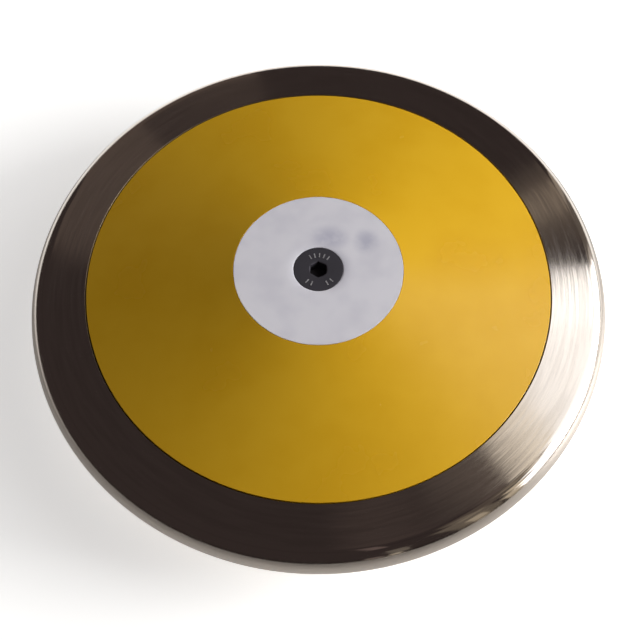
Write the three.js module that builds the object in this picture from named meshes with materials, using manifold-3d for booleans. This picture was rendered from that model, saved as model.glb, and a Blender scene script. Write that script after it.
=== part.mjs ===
// A 1 kg throwing discus that comes apart on a bench: a turned steel rim, two moulded covers,
// two centre plates, a hub with its trim washers, and the one screw and sleeve nut that clamp it.
// Lengths are in millimetres. The axis is +Z and the origin is the middle of the discus.

import * as THREE from "three";
import { mergeVertices, toCreasedNormals } from "three/addons/utils/BufferGeometryUtils.js";
import Module from "manifold-3d";

const wasm = await Module();
wasm.setup();

// Whole discus
const OUTER_DIAMETER = 181;
const CENTRE_THICKNESS = 38;
const EDGE_RADIUS = 6.25;

// Clearances between pieces
const SIDE_GAP = 0.3;
const CONE_GAP = 0.2;

// Centre plates: round metal discs let into the covers, flush with them
const PLATE_DIAMETER = 52;
const PLATE_THICKNESS = 3;
const PLATE_CHAMFER = 0.4;

// Covers: moulded cones with a boss, ribs and a seat flange inside
const COVER_WALL = 2.6;
const COVER_EDGE_HEIGHT = 3;
const COVER_EDGE_CHAMFER = 0.45;
const RECESS_CHAMFER = 0.25;
const FLOOR_THICKNESS = 2.4;
const BOSS_WALL = 2.8;
const FLANGE_WIDTH = 5.6;
const RIB_COUNT = 12;
const RIB_THICKNESS = 1.5;
const RIB_END_DEPTH = 1.1;
const RING_RIB_PLACE_SHARE = 0.42;
const DRAFT_ANGLE = THREE.MathUtils.degToRad(1.5);

// Lugs under each cover's flange, which key it into the rim so that it can't turn
const LUG_COUNT = 6;
const LUG_WIDTH = 7.4;
const LUG_LENGTH = 2.4;
const LUG_INSET = 1.6;
const LUG_END_GAP = 0.3;

// Rim: a steel ring with a seat for each cover and a lightening groove turned inside it. Its width is
// what shows of it beside a cover
const RIM_WIDTH = 18.25;
const REBATE_CHAMFER = 0.3;
const LEDGE_WIDTH = 4.6;
const LEDGE_THICKNESS = 2.4;
const OUTER_WALL = 8.2;
const GROOVE_CORNER_RADIUS = 2.5;
const GROOVE_CORNER_SHARE = 0.8;

// Hub and trim washers: steel and nylon ones of one size, swapped to bring the discus to weight
const HUB_DIAMETER = 18;
const HUB_CHAMFER = 0.5;
const WASHER_DIAMETER = 40;
const WASHER_THICKNESS = 1.5;
const WASHER_KINDS = ["nylon", "steel", "steel", "steel", "steel", "nylon"];

// Countersunk socket screw and the sleeve nut that it runs into
const HEAD_DIAMETER = 15.2;
const HEAD_LAND = 0.35;
const HEAD_SET_BELOW = 0.1;
const SHANK_DIAMETER = 7.8;
const SHANK_CHAMFER = 0.8;
const THREAD_ENGAGEMENT = 18;
const TIP_GAP = 1.5;
const SOCKET_WIDTH = 5;
const SOCKET_DEPTH = 3.8;
const SOCKET_CHAMFER = 0.3;
const SOCKET_POINT_DEPTH = 0.9;
const NUT_WEB = 1.6;
const BARREL_DIAMETER = 11;
const BARREL_CHAMFER = 0.5;

// Fineness of the round surfaces, and what cutting tools need
const RING_SEGMENTS = 60;
const SMALL_SEGMENTS = 32;
const EDGE_ARC_STEPS = 10;
const CORNER_ARC_STEPS = 3;
const HEXAGON_SIDES = 6;
const CUT_OVERRUN = 1;
const MERGE_DISTANCE = 0.0001;
const CREASE_ANGLE = THREE.MathUtils.degToRad(25);

// Places that follow from the sizes above
const outerRadius = OUTER_DIAMETER / 2;
const faceZ = CENTRE_THICKNESS / 2;
const plateRadius = PLATE_DIAMETER / 2;
const recessRadius = plateRadius + SIDE_GAP;
const recessFloorZ = faceZ - PLATE_THICKNESS;
const floorUnderZ = recessFloorZ - FLOOR_THICKNESS;
const floorEdgeRadius = recessRadius + FLOOR_THICKNESS;
const coverRadius = outerRadius - RIM_WIDTH;
const rebateRadius = coverRadius + SIDE_GAP;
const flangeRadius = coverRadius - FLANGE_WIDTH;
const hubRadius = HUB_DIAMETER / 2;
const bossBoreRadius = hubRadius + SIDE_GAP;
const bossRadius = bossBoreRadius + BOSS_WALL;
const washerRadius = WASHER_DIAMETER / 2;
const stackHeight = WASHER_KINDS.length * WASHER_THICKNESS;
const bossEndZ = stackHeight / 2;
const headRadius = HEAD_DIAMETER / 2;
const headTopZ = faceZ - HEAD_SET_BELOW;
const shankRadius = SHANK_DIAMETER / 2;
const barrelRadius = BARREL_DIAMETER / 2;
const barrelHoleRadius = barrelRadius + SIDE_GAP;
const countersinkRadius = headRadius + HEAD_SET_BELOW + HEAD_LAND + CONE_GAP;
const nutBoreFloorDepth = SOCKET_DEPTH + SOCKET_POINT_DEPTH + NUT_WEB;
const screwTipZ = nutBoreFloorDepth + TIP_GAP - headTopZ;
const barrelEndZ = screwTipZ + THREAD_ENGAGEMENT;

// The flank is one straight cone, from the centre plate's edge to where it meets the round edge
const edgeCentreRadius = outerRadius - EDGE_RADIUS;
const flankRun = edgeCentreRadius - plateRadius;
const flankAngle = Math.atan2(faceZ, flankRun) - Math.asin(EDGE_RADIUS / Math.hypot(flankRun, faceZ));
const flankZ = (radius) => faceZ - (radius - plateRadius) * Math.tan(flankAngle);
const underZ = (radius) => flankZ(radius) - COVER_WALL / Math.cos(flankAngle);
const middleZ = (radius) => (flankZ(radius) + underZ(radius)) / 2;
const seatZ = flankZ(coverRadius) - COVER_EDGE_HEIGHT;
const draft = (height) => height * Math.tan(DRAFT_ANGLE);

// The foot of the ribs runs straight from the washers' edge out to the seat flange
const ribEndZ = underZ(flangeRadius) - RIB_END_DEPTH;
const ribFootSlope = (ribEndZ - bossEndZ) / (flangeRadius - washerRadius);
const ribFootZ = (radius) => bossEndZ + (radius - washerRadius) * ribFootSlope;

// The first lug stands midway between the first two ribs
const lugFirstAngle = Math.PI / RIB_COUNT;

// Points of an arc in the plane of radius and height
function arcPoints(centreRadius, centreZ, radius, fromAngle, toAngle, steps) {
  const points = [];
  for (let step = 0; step <= steps; step += 1) {
    const angle = fromAngle + ((toAngle - fromAngle) * step) / steps;
    points.push([centreRadius + radius * Math.cos(angle), centreZ + radius * Math.sin(angle)]);
  }
  return points;
}

// A body turned about +Z from an outline of radius and height, taken anticlockwise
function turned(outline, segments) {
  const points = outline.map(([radius, height]) => new THREE.Vector2(radius, height));
  return new THREE.LatheGeometry(points, segments).rotateX(Math.PI / 2);
}

// A ring whose outline doesn't touch the axis is closed by its own first point
function turnedRing(outline, segments) {
  return turned([...outline, outline[0]], segments);
}

// A geometry with its shared corners merged, holding positions alone
function merged(geometry) {
  const bare = geometry.clone();
  bare.deleteAttribute("normal");
  bare.deleteAttribute("uv");
  return mergeVertices(bare, MERGE_DISTANCE);
}

function toSolid(geometry) {
  const closed = merged(geometry);
  const mesh = new wasm.Mesh({
    numProp: 3,
    vertProperties: closed.getAttribute("position").array,
    triVerts: new Uint32Array(closed.index.array),
  });
  return new wasm.Manifold(mesh);
}

function toGeometry(solid) {
  const mesh = solid.getMesh();
  const geometry = new THREE.BufferGeometry();
  geometry.setAttribute("position", new THREE.BufferAttribute(mesh.vertProperties, mesh.numProp));
  geometry.setIndex(new THREE.BufferAttribute(mesh.triVerts, 1));
  return geometry;
}

// Copies of a geometry, evenly spaced round the axis from a first angle
function roundTheAxis(geometry, count, firstAngle) {
  const copies = [];
  for (let index = 0; index < count; index += 1) {
    copies.push(geometry.clone().rotateZ(firstAngle + (2 * Math.PI * index) / count));
  }
  return copies;
}

function joined(body, additions) {
  const solid = additions.reduce((sum, piece) => sum.add(toSolid(piece)), toSolid(body));
  return toGeometry(solid);
}

function cutBy(body, cutters) {
  const solid = cutters.reduce((rest, cutter) => rest.subtract(toSolid(cutter)), toSolid(body));
  return toGeometry(solid);
}

// A block that lies across a radius, given by its inner and outer radius, width, foot and top
function radialBlock(innerRadius, outerEdge, width, footZ, topZ) {
  const block = new THREE.BoxGeometry(outerEdge - innerRadius, width, topZ - footZ);
  return block.translate((innerRadius + outerEdge) / 2, 0, (footZ + topZ) / 2);
}

// Rim: round outer edge, conical flanks, a rebate and ledge for each cover, a groove between
function rimGeometry() {
  const ledgeRadius = rebateRadius - LEDGE_WIDTH;
  const ledgeUnderZ = seatZ - LEDGE_THICKNESS;
  const grooveRadius = outerRadius - OUTER_WALL;
  const cornerRadius = Math.min(GROOVE_CORNER_RADIUS, ledgeUnderZ * GROOVE_CORNER_SHARE);
  const cornerStart = grooveRadius - cornerRadius;
  const rebateTopZ = flankZ(rebateRadius + REBATE_CHAMFER);
  const tangentAngle = Math.PI / 2 - flankAngle;
  const inside = [
    [rebateRadius + REBATE_CHAMFER, rebateTopZ],
    [rebateRadius, rebateTopZ - REBATE_CHAMFER],
    [rebateRadius, seatZ],
    [ledgeRadius, seatZ],
    [ledgeRadius, ledgeUnderZ],
    ...arcPoints(cornerStart, ledgeUnderZ - cornerRadius, cornerRadius, Math.PI / 2, 0, CORNER_ARC_STEPS),
  ];
  const insideBelow = inside.map(([radius, height]) => [radius, -height]).reverse();
  const edge = arcPoints(edgeCentreRadius, 0, EDGE_RADIUS, -tangentAngle, tangentAngle, EDGE_ARC_STEPS);
  const ring = turnedRing([...edge, ...inside, ...insideBelow], RING_SEGMENTS);
  return cutBy(ring, notchCutters(ledgeRadius, ledgeUnderZ));
}

// Cutters for the notches of both ledges, which the covers' lugs drop into
function notchCutters(ledgeRadius, ledgeUnderZ) {
  const cutter = radialBlock(
    ledgeRadius - CUT_OVERRUN,
    coverRadius - LUG_INSET + SIDE_GAP,
    LUG_WIDTH + 2 * SIDE_GAP,
    ledgeUnderZ - CUT_OVERRUN,
    seatZ + CUT_OVERRUN,
  );
  const above = roundTheAxis(cutter, LUG_COUNT, lugFirstAngle);
  const below = above.map((notch) => notch.clone().rotateX(Math.PI));
  return [...above, ...below];
}

// Cover shell: cone wall, plate recess, boss, ring rib and seat flange in one turned outline
function coverShell() {
  const edgeTopZ = flankZ(coverRadius - COVER_EDGE_CHAMFER);
  const recessTopZ = flankZ(recessRadius + RECESS_CHAMFER);
  const floorEdgeTopZ = underZ(floorEdgeRadius);
  const ringRadius = THREE.MathUtils.lerp(floorEdgeRadius, flangeRadius, RING_RIB_PLACE_SHARE);
  const ringInner = ringRadius - RIB_THICKNESS / 2;
  const ringOuter = ringRadius + RIB_THICKNESS / 2;
  const ringDraft = draft(underZ(ringRadius) - ribFootZ(ringRadius));
  const outline = [
    [coverRadius, seatZ],
    [coverRadius, edgeTopZ - COVER_EDGE_CHAMFER],
    [coverRadius - COVER_EDGE_CHAMFER, edgeTopZ],
    [recessRadius + RECESS_CHAMFER, recessTopZ],
    [recessRadius, recessTopZ - RECESS_CHAMFER],
    [recessRadius, recessFloorZ],
    [bossBoreRadius, recessFloorZ],
    [bossBoreRadius, bossEndZ],
    [bossRadius, bossEndZ],
    [bossRadius + draft(floorUnderZ - bossEndZ), floorUnderZ],
    [floorEdgeRadius, floorUnderZ],
    [floorEdgeRadius, floorEdgeTopZ],
    [ringInner - ringDraft, underZ(ringInner - ringDraft)],
    [ringInner, ribFootZ(ringRadius)],
    [ringOuter, ribFootZ(ringRadius)],
    [ringOuter + ringDraft, underZ(ringOuter + ringDraft)],
    [flangeRadius - draft(COVER_EDGE_HEIGHT), underZ(flangeRadius)],
    [flangeRadius, seatZ],
  ];
  return turnedRing(outline, RING_SEGMENTS);
}

// One radial rib, rooted in the middle of the walls that it joins
function ribGeometry() {
  const rootRadius = (bossBoreRadius + bossRadius) / 2;
  const rootZ = (recessFloorZ + floorUnderZ) / 2;
  const floorMiddleRadius = (recessRadius + floorEdgeRadius) / 2;
  const endRadius = (flangeRadius + coverRadius) / 2;
  const outline = [
    [rootRadius, bossEndZ],
    [washerRadius, bossEndZ],
    [flangeRadius, ribEndZ],
    [endRadius, ribEndZ],
    [endRadius, middleZ(endRadius)],
    [floorMiddleRadius, middleZ(floorMiddleRadius)],
    [floorMiddleRadius, rootZ],
    [rootRadius, rootZ],
  ];
  const shape = new THREE.Shape(outline.map(([radius, height]) => new THREE.Vector2(radius, height)));
  const rib = new THREE.ExtrudeGeometry(shape, { depth: RIB_THICKNESS, bevelEnabled: false });
  return rib.translate(0, 0, -RIB_THICKNESS / 2).rotateX(Math.PI / 2);
}

// Cover: the shell with its radial ribs, and lugs that reach down into the rim's notches
function coverGeometry() {
  const lugOuter = coverRadius - LUG_INSET;
  const lugFootZ = seatZ - LEDGE_THICKNESS + LUG_END_GAP;
  const lugRootZ = (seatZ + flankZ(lugOuter)) / 2;
  const lug = radialBlock(lugOuter - LUG_LENGTH, lugOuter, LUG_WIDTH, lugFootZ, lugRootZ);
  const ribs = roundTheAxis(ribGeometry(), RIB_COUNT, 0);
  const lugs = roundTheAxis(lug, LUG_COUNT, lugFirstAngle);
  return joined(coverShell(), [...ribs, ...lugs]);
}

// Centre plate: chamfered at its edge and countersunk for the screw's or the nut's head
function plateGeometry() {
  const coneFootZ = faceZ - (countersinkRadius - barrelHoleRadius);
  const outline = [
    [plateRadius, recessFloorZ],
    [plateRadius, faceZ - PLATE_CHAMFER],
    [plateRadius - PLATE_CHAMFER, faceZ],
    [countersinkRadius, faceZ],
    [barrelHoleRadius, coneFootZ],
    [barrelHoleRadius, recessFloorZ],
  ];
  return turnedRing(outline, RING_SEGMENTS);
}

// Hub: the tube between the centre plates that takes the screw's pull off the mouldings
function hubGeometry() {
  const outline = [
    [hubRadius - HUB_CHAMFER, -recessFloorZ],
    [hubRadius, HUB_CHAMFER - recessFloorZ],
    [hubRadius, recessFloorZ - HUB_CHAMFER],
    [hubRadius - HUB_CHAMFER, recessFloorZ],
    [barrelHoleRadius, recessFloorZ],
    [barrelHoleRadius, -recessFloorZ],
  ];
  return turnedRing(outline, SMALL_SEGMENTS);
}

function washerGeometry() {
  const outline = [
    [washerRadius, 0],
    [washerRadius, WASHER_THICKNESS],
    [bossBoreRadius, WASHER_THICKNESS],
    [bossBoreRadius, 0],
  ];
  return turnedRing(outline, SMALL_SEGMENTS);
}

// Cutter for a hexagon socket: its mouth chamfered, its floor left by the point of a drill
function socketCutters() {
  const cornerRadius = SOCKET_WIDTH / 2 / Math.cos(Math.PI / HEXAGON_SIDES);
  const length = SOCKET_DEPTH + CUT_OVERRUN;
  const prism = new THREE.CylinderGeometry(cornerRadius, cornerRadius, length, HEXAGON_SIDES);
  prism.rotateX(Math.PI / 2).translate(0, 0, headTopZ - SOCKET_DEPTH + length / 2);
  const drillRadius = SOCKET_WIDTH / 2 - SOCKET_CHAMFER;
  const point = turned(
    [
      [0, headTopZ - SOCKET_DEPTH - SOCKET_POINT_DEPTH],
      [drillRadius, headTopZ - SOCKET_DEPTH],
      [drillRadius, headTopZ - SOCKET_DEPTH + SOCKET_CHAMFER],
      [0, headTopZ - SOCKET_DEPTH + SOCKET_CHAMFER],
    ],
    SMALL_SEGMENTS,
  );
  const mouth = turned(
    [
      [0, headTopZ - SOCKET_CHAMFER],
      [cornerRadius - SOCKET_CHAMFER / 2, headTopZ - SOCKET_CHAMFER],
      [cornerRadius + SOCKET_CHAMFER / 2, headTopZ],
      [cornerRadius + SOCKET_CHAMFER / 2, headTopZ + CUT_OVERRUN],
      [0, headTopZ + CUT_OVERRUN],
    ],
    SMALL_SEGMENTS,
  );
  return [prism, point, mouth];
}

// Screw: countersunk head with a narrow land, plain shank and chamfered tip
function screwGeometry() {
  const landFootZ = headTopZ - HEAD_LAND;
  const outline = [
    [0, screwTipZ],
    [shankRadius - SHANK_CHAMFER, screwTipZ],
    [shankRadius, screwTipZ + SHANK_CHAMFER],
    [shankRadius, landFootZ - (headRadius - shankRadius)],
    [headRadius, landFootZ],
    [headRadius, headTopZ],
    [0, headTopZ],
  ];
  return cutBy(turned(outline, SMALL_SEGMENTS), socketCutters());
}

// Sleeve nut, drawn head up as the screw is: a countersunk head on a bored barrel
function nutGeometry() {
  const landFootZ = headTopZ - HEAD_LAND;
  const boreRadius = shankRadius + SIDE_GAP;
  const outline = [
    [0, headTopZ - nutBoreFloorDepth],
    [boreRadius, headTopZ - nutBoreFloorDepth],
    [boreRadius, -barrelEndZ],
    [barrelRadius - BARREL_CHAMFER, -barrelEndZ],
    [barrelRadius, BARREL_CHAMFER - barrelEndZ],
    [barrelRadius, landFootZ - (headRadius - barrelRadius)],
    [headRadius, landFootZ],
    [headRadius, headTopZ],
    [0, headTopZ],
  ];
  return cutBy(turned(outline, SMALL_SEGMENTS), socketCutters());
}

// Finishes
const turnedSteel = new THREE.MeshStandardMaterial({ color: 0x8a8580, roughness: 0.28, metalness: 1 });
const yellowPlastic = new THREE.MeshStandardMaterial({ color: 0xd9a514, roughness: 0.38, metalness: 0 });
const greyAluminium = new THREE.MeshStandardMaterial({ color: 0xc2c0c6, roughness: 0.5, metalness: 1 });
const blackenedSteel = new THREE.MeshStandardMaterial({ color: 0x2f2d32, roughness: 0.5, metalness: 0.6 });
const plainAluminium = new THREE.MeshStandardMaterial({ color: 0xb4b6ba, roughness: 0.4, metalness: 1 });
const plainSteel = new THREE.MeshStandardMaterial({ color: 0x9a9b9e, roughness: 0.4, metalness: 1 });
const whiteNylon = new THREE.MeshStandardMaterial({ color: 0xe6e3d8, roughness: 0.5, metalness: 0 });

function piece(name, geometry, material) {
  const mesh = new THREE.Mesh(toCreasedNormals(merged(geometry), CREASE_ANGLE), material);
  mesh.name = name;
  return mesh;
}

// What lies on the lower side is its upper twin turned over about +X
function turnedOver(mesh) {
  mesh.rotation.x = Math.PI;
  return mesh;
}

const discus = new THREE.Group();
discus.name = "discus";

discus.add(piece("rim", rimGeometry(), turnedSteel));

const cover = coverGeometry();
discus.add(piece("upper_cover", cover, yellowPlastic));
discus.add(turnedOver(piece("lower_cover", cover, yellowPlastic)));

const plate = plateGeometry();
discus.add(piece("upper_centre_plate", plate, greyAluminium));
discus.add(turnedOver(piece("lower_centre_plate", plate, greyAluminium)));

discus.add(piece("hub_sleeve", hubGeometry(), plainAluminium));

const washerFinishes = { nylon: whiteNylon, steel: plainSteel };
const washerCounts = { nylon: 0, steel: 0 };
const washer = washerGeometry();
WASHER_KINDS.forEach((kind, index) => {
  washerCounts[kind] += 1;
  const mesh = piece(`${kind}_trim_washer_${washerCounts[kind]}`, washer, washerFinishes[kind]);
  mesh.position.z = index * WASHER_THICKNESS - stackHeight / 2;
  discus.add(mesh);
});

discus.add(piece("centre_screw", screwGeometry(), blackenedSteel));
discus.add(turnedOver(piece("sleeve_nut", nutGeometry(), blackenedSteel)));

export default discus;
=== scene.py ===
"""Looks of a 1 kg throwing discus, in metres.

The discus lies flat, with its axis on +Z and its middle at the origin. Its pieces are a turned steel rim, two
moulded covers, two blasted centre plates, a hub with its trim washers, and a blackened screw and sleeve nut.
Each is made here at full fineness and stands for the plainer solid of the same piece in the frame.
"""

import logging
import math
from abc import ABC, abstractmethod
from dataclasses import dataclass
from enum import Enum

import bmesh
import bpy
from bmesh.types import BMesh, BMVert
from bpy.types import Material, Node, NodeSocket, NodeTree, Object, World
from mathutils import Matrix, Vector


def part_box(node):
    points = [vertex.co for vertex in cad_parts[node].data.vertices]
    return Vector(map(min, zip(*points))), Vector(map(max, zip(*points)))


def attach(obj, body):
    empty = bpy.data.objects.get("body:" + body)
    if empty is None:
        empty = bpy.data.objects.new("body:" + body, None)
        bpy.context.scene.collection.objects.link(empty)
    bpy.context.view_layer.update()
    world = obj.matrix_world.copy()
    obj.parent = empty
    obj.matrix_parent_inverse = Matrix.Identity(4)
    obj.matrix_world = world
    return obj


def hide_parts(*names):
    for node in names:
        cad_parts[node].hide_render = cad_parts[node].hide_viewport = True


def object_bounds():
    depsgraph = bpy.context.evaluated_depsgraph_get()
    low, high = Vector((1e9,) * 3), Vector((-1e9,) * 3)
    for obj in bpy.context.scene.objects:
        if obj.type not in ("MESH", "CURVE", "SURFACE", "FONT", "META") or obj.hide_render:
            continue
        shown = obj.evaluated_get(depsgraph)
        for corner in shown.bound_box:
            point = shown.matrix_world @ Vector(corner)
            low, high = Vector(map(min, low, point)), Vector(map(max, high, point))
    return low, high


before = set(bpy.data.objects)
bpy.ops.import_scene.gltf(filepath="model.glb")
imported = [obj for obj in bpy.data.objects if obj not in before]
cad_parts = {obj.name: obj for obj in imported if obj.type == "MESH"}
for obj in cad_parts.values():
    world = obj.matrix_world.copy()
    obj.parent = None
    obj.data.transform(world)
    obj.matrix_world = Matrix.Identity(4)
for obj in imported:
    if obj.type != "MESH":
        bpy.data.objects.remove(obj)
FRAME_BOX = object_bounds()

# The two ends of a range, or a radius and a height
Pair = tuple[float, float]

MM = 0.001
BODY = "root"
LOG = logging.getLogger("discus")

# Clearance between a piece and what surrounds it
SIDE_GAP = 0.3 * MM
REBATE_CHAMFER = 0.18 * MM

# Fineness of round surfaces
RING_SEGMENTS = 288
SMALL_SEGMENTS = 128
EDGE_ARC_STEPS = 44
CORNER_ARC_STEPS = 6
DISH_ARC_STEPS = 5
ROUNDING_STEPS = 3
HEXAGON_SIDES = 6
MERGE_DISTANCE = 0.0005 * MM
SHARP_ANGLE = math.radians(30)
ROUNDED_ABOVE = math.radians(25)
CUT_OVERRUN = 1 * MM

# An area lamp sends out its power over four times its own area
LAMP_SPREAD = 4

# ABS and nylon refract alike
PLASTIC_IOR = 1.53

# Nearly all values of a noise lie in this range
NOISE_RANGE = (0.3, 0.7)


class Side(Enum):
    """The two sides of the discus, each by the turn about +X that takes an upper piece to it."""

    UPPER = 0.0
    LOWER = math.pi


class Work(Enum):
    """What further shapes do to a first one."""

    JOIN = "UNION"
    CUT = "DIFFERENCE"


class WasherKind(Enum):
    """The kinds of trim washer."""

    STEEL = "steel"
    NYLON = "nylon"


def linear(colour: str) -> tuple[float, float, float, float]:
    """Turns an sRGB hex colour to linear light.

    Args:
        colour: the colour, as "#RRGGBB".

    Returns:
        Red, green, blue and an alpha of 1.
    """
    shares = [int(colour[start : start + 2], 16) / 255 for start in (1, 3, 5)]
    levels = [share / 12.92 if share <= 0.04045 else ((share + 0.055) / 1.055) ** 2.4 for share in shares]
    return (*levels, 1.0)


def add_node(
    tree: NodeTree, kind: str, settings: dict[str, object] | None = None, inputs: dict[str | int, object] | None = None
) -> Node:
    """Adds a node to a tree, with its settings and links.

    Args:
        tree: the tree that the node goes into.
        kind: the node's type, without its "ShaderNode" start.
        settings: the node's own properties, by name.
        inputs: its inputs by name or number, each a value or the output that feeds it.

    Returns:
        The new node.
    """
    node = tree.nodes.new("ShaderNode" + kind)
    for name, value in (settings or {}).items():
        setattr(node, name, value)
    for key, value in (inputs or {}).items():
        if isinstance(value, NodeSocket):
            tree.links.new(value, node.inputs[key])
        else:
            node.inputs[key].default_value = value
    return node


def math_node(tree: NodeTree, operation: str, first: object, second: object = 0.0) -> NodeSocket:
    """Works on two numbers, each a value or an output, and gives the result."""
    return add_node(tree, "Math", {"operation": operation}, {0: first, 1: second}).outputs[0]


def vector_node(tree: NodeTree, operation: str, first: NodeSocket, second: tuple[float, float, float]) -> NodeSocket:
    """Works on a vector by fixed numbers and gives the new vector."""
    return add_node(tree, "VectorMath", {"operation": operation}, {0: first, 1: second}).outputs[0]


def length_node(tree: NodeTree, vector: NodeSocket) -> NodeSocket:
    """Gives the length of a vector."""
    return add_node(tree, "VectorMath", {"operation": "LENGTH"}, {0: vector}).outputs["Value"]


def empty_tree(owner: Material | World) -> NodeTree:
    """Gives a material or a world an empty tree.

    Args:
        owner: the material or world.

    Returns:
        Its tree.
    """
    owner.use_nodes = True
    owner.node_tree.nodes.clear()
    return owner.node_tree


class Section:
    """The half section of a turned piece, drawn as radius and height and then spun round the axis."""

    def __init__(self, *points: Pair) -> None:
        """Starts the outline at a point and draws it through any others.

        Args:
            points: the points, each a radius and a height.
        """
        radius, height = points[0]
        self.shape = bmesh.new()
        self.first = self.shape.verts.new((radius, 0.0, height))
        self.last = self.first
        self.lines(*points[1:])

    def lines(self, *points: Pair) -> None:
        """Draws on in straight lines.

        Args:
            points: the ends of the lines, each a radius and a height.
        """
        for radius, height in points:
            grown = bmesh.ops.extrude_vert_indiv(self.shape, verts=[self.last])
            self.last = grown["verts"][0]
            self.last.co = (radius, 0.0, height)

    def arc(self, radius: float, height: float, turn: float, steps: int) -> None:
        """Draws on in an arc.

        Args:
            radius: the radius at which the arc's centre lies.
            height: the height at which the arc's centre lies.
            turn: the angle swept, anticlockwise where positive.
            steps: how many straight steps make the arc.
        """
        centre = (radius, 0.0, height)
        axis = (0.0, -1.0, 0.0)
        swept = bmesh.ops.spin(self.shape, geom=[self.last], cent=centre, axis=axis, angle=turn, steps=steps)
        self.last = next(item for item in swept["geom_last"] if isinstance(item, BMVert))

    def spun(self, segments: int, rounding: float = 0.0) -> BMesh:
        """Spins the outline once round the axis and rounds its sharp edges.

        Args:
            segments: how many steps make the full turn.
            rounding: how far a rounding reaches from its edge, or 0 for none.

        Returns:
            The closed shape, its faces pointing out.
        """
        shape = self.shape
        if max(self.first.co.x, self.last.co.x) > MERGE_DISTANCE:
            shape.edges.new((self.last, self.first))
        outline = [*shape.verts, *shape.edges]
        bmesh.ops.spin(shape, geom=outline, axis=(0.0, 0.0, 1.0), angle=math.tau, steps=segments, use_merge=True)
        bmesh.ops.remove_doubles(shape, verts=shape.verts, dist=MERGE_DISTANCE)
        bmesh.ops.recalc_face_normals(shape, faces=shape.faces)
        if rounding:
            sharp = [edge for edge in shape.edges if edge.calc_face_angle(0.0) > ROUNDED_ABOVE]
            steps = {"segments": ROUNDING_STEPS, "profile": 0.5, "affect": "EDGES"}
            bmesh.ops.bevel(shape, geom=sharp, offset=rounding, **steps)
        return shape


def block(radii: Pair, heights: Pair, width: float) -> BMesh:
    """Makes a block that stands on +X, half of its width on each side.

    Args:
        radii: where its two ends lie.
        heights: where its underside and its top lie.
        width: its width.

    Returns:
        The block.
    """
    shape = bmesh.new()
    low, high = map(Vector, zip(radii, (-width / 2, width / 2), heights))
    place = Matrix.Translation((low + high) / 2) @ Matrix.Diagonal((*(high - low), 1.0))
    bmesh.ops.create_cube(shape, size=1.0, matrix=place)
    return shape


def turned(shape: BMesh, side: Side) -> BMesh:
    """Turns a shape made for the upper side to a side."""
    bmesh.ops.rotate(shape, verts=shape.verts, matrix=Matrix.Rotation(side.value, 3, "X"))
    return shape


def set_round(shape: BMesh, count: int, first_angle: float) -> BMesh:
    """Repeats a shape at even steps round the axis.

    Args:
        shape: the shape, which is changed.
        count: how many of it there are at the end.
        first_angle: the angle that the first is turned to.

    Returns:
        The same shape.
    """
    single = [*shape.verts, *shape.edges, *shape.faces]
    bmesh.ops.rotate(shape, verts=shape.verts, matrix=Matrix.Rotation(first_angle, 3, "Z"))
    for index in range(1, count):
        copied = bmesh.ops.duplicate(shape, geom=single)["geom"]
        verts = [item for item in copied if isinstance(item, BMVert)]
        bmesh.ops.rotate(shape, verts=verts, matrix=Matrix.Rotation(math.tau * index / count, 3, "Z"))
    return shape


def to_object(name: str, shape: BMesh) -> Object:
    """Puts a shape into the scene as an object at the origin.

    Args:
        name: the object's name.
        shape: the shape, which is used up.

    Returns:
        The object.
    """
    mesh = bpy.data.meshes.new(name)
    shape.to_mesh(mesh)
    shape.free()
    thing = bpy.data.objects.new(name, mesh)
    bpy.context.scene.collection.objects.link(thing)
    return thing


def worked(body: BMesh, work: Work, *tools: BMesh) -> BMesh:
    """Joins further shapes to a first one, or cuts them away, one after the other.

    Args:
        body: the first shape, which is used up.
        work: what each of the others does to it.
        tools: the other shapes, which are used up.

    Returns:
        The new shape.
    """
    for tool in tools:
        things = [to_object("body", body), to_object("tool", tool)]
        modifier = things[0].modifiers.new("work", "BOOLEAN")
        modifier.operation = work.value
        modifier.solver = "EXACT"
        modifier.object = things[1]
        evaluated = things[0].evaluated_get(bpy.context.evaluated_depsgraph_get())
        body = bmesh.new()
        body.from_mesh(evaluated.to_mesh())
        evaluated.to_mesh_clear()
        for thing in things:
            mesh = thing.data
            bpy.data.objects.remove(thing)
            bpy.data.meshes.remove(mesh)
        bmesh.ops.remove_doubles(body, verts=body.verts, dist=MERGE_DISTANCE)
    return body


@dataclass(frozen=True)
class Piece:
    """One finished piece: its name, the node that it stands for, its slot and its side."""

    name: str
    node: str
    slot: str
    side: Side = Side.UPPER

    def complete(self, shape: BMesh, material: Material) -> None:
        """Completes the piece: turns its shape to its side, smooths it, dresses it and ties it to the frame.

        Args:
            shape: the shape as an upper piece, which is used up.
            material: the piece's material.
        """
        thing = to_object(self.name, turned(shape, self.side))
        thing.data.shade_smooth()
        thing.data.set_sharp_from_angle(angle=SHARP_ANGLE)
        weighted = thing.modifiers.new("even shading", "WEIGHTED_NORMAL")
        weighted.keep_sharp = True
        thing.data.materials.append(material)
        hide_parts(self.node)
        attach(thing, BODY)
        LOG.info("%s: %d faces for %s", self.name, len(thing.data.polygons), self.node)


def node_reach(node: str) -> tuple[float, float, float]:
    """Gives how far a round node of the frame reaches: its radius, its lowest height and its highest one."""
    low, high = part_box(node)
    return high.x, low.z, high.z


OUTER_RADIUS = node_reach("rim")[0]
COVER_RADIUS = node_reach("upper_cover")[0]
PLATE_RADIUS, PLATE_UNDER, FACE_HEIGHT = node_reach("upper_centre_plate")


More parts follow.
